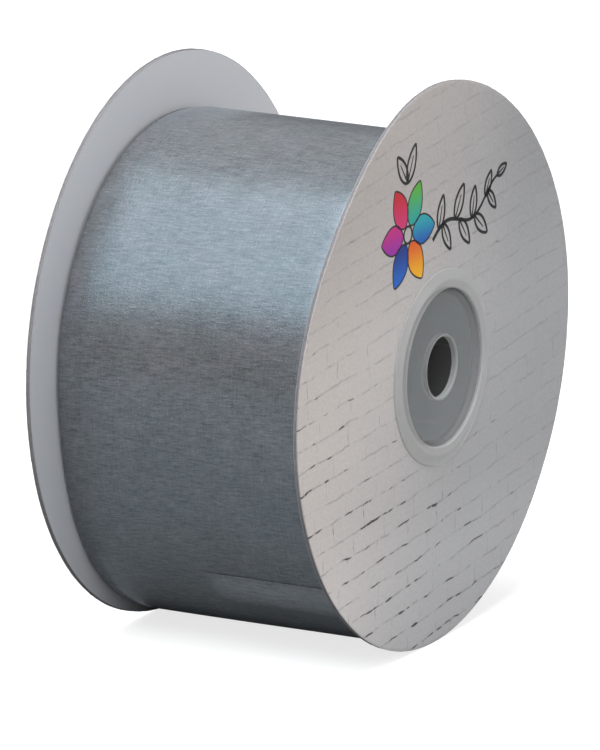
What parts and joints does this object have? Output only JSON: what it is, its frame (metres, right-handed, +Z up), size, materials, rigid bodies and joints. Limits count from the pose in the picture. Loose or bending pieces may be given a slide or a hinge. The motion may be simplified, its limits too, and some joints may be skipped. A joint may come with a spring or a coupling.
{
  "type": "ribbon spool",
  "caption": "Wide sheer ribbon wound on a paper core between two round printed card discs, with a moulded plug and spindle hole at each end.",
  "frame": {"origin": "middle of the spool, on its axis, halfway between the two discs", "axes": "the spool's axis runs along Y, with the printed front disc facing -Y; +Z is up as the spool stands on the rims of its discs; the ribbon's free end lies on the -X side, below the axis"},
  "size_m": [0.1, 0.0574, 0.1],
  "materials": {
    "plug_plastic": "milky translucent moulded plastic, satin",
    "tube_board": "spiral-wound grey-brown board",
    "tape": "thin double-sided tape",
    "grey_board": "die-cut grey board, dark at the cut edge",
    "printed_paper": "matt paper printed with pale painted brickwork",
    "liner_paper": "plain smooth white paper",
    "ribbon": "sheer silver-blue satin-faced weave with a soft shine across it",
    "glue": "clear dry glue"
  },
  "bodies": {
    "spool_core": {"hub_plug_front": "plug_plastic", "hub_plug_rear": "plug_plastic", "core_tube": "tube_board", "core_tape": "tape", "ribbon_winding": "ribbon", "ribbon_outer_turn": "ribbon"},
    "front_disc": {"flange_board_front": "grey_board", "flange_print_front": "printed_paper", "flange_liner_front": "liner_paper"},
    "rear_disc": {"flange_board_rear": "grey_board", "flange_print_rear": "printed_paper", "flange_liner_rear": "liner_paper"},
    "tail": {"ribbon_tail": "ribbon", "tail_tack": "glue"}
  },
  "joints": [
    {"name": "front_disc_turn", "type": "hinge", "parent": "spool_core", "child": "front_disc", "pos_m": [0, -0.02622, 0], "axis": [0, 1, 0], "continuous": true},
    {"name": "rear_disc_turn", "type": "hinge", "parent": "spool_core", "child": "rear_disc", "pos_m": [0, 0.02622, 0], "axis": [0, 1, 0], "continuous": true},
    {"name": "tail_lift", "type": "hinge", "parent": "spool_core", "child": "tail", "pos_m": [-0.02362, 0, -0.04124], "axis": [0, -1, 0], "range_deg": [0, 90], "stiffness_Nm_per_rad": 0.00003}
  ]
}
